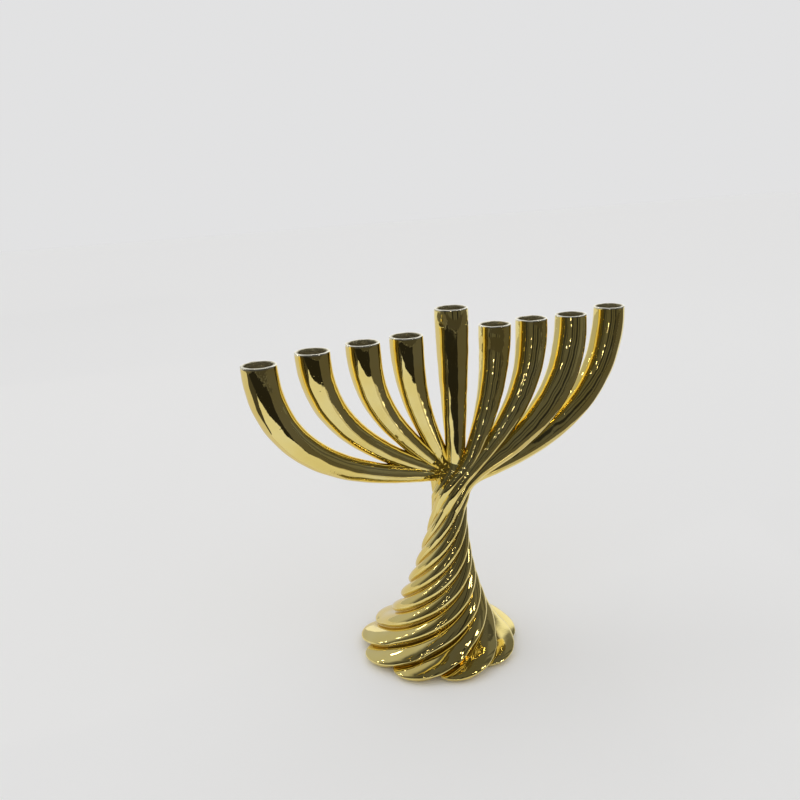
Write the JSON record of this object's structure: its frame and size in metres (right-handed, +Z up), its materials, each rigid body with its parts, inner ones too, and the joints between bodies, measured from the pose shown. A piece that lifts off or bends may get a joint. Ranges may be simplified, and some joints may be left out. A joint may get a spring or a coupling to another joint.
{
  "type": "nine-branch candelabrum",
  "caption": "Nine-branch menorah: horn-shaped branches with open candle cups fan out of a rope-twisted, fluted stem that flares into its own foot.",
  "frame": {"origin": "on the table, at the foot of the shamash's axis, midway between the outermost branches", "axes": "+Z up along the shamash; +X along the fan of branches, towards the ones that leave the front of the waist; -Y is the front"},
  "size_m": [0.3592, 0.1397, 0.305],
  "materials": {
    "polished_gold": "gold-plated casting, polished to a mirror",
    "black_felt": "short dense felt"
  },
  "bodies": {
    "root": {"twisted_stem": "polished_gold", "shamash": "polished_gold", "branch_right_1": "polished_gold", "branch_right_2": "polished_gold", "branch_right_3": "polished_gold", "branch_right_4": "polished_gold", "branch_left_1": "polished_gold", "branch_left_2": "polished_gold", "branch_left_3": "polished_gold", "branch_left_4": "polished_gold", "felt_base_pad": "black_felt"}
  },
  "joints": []
}
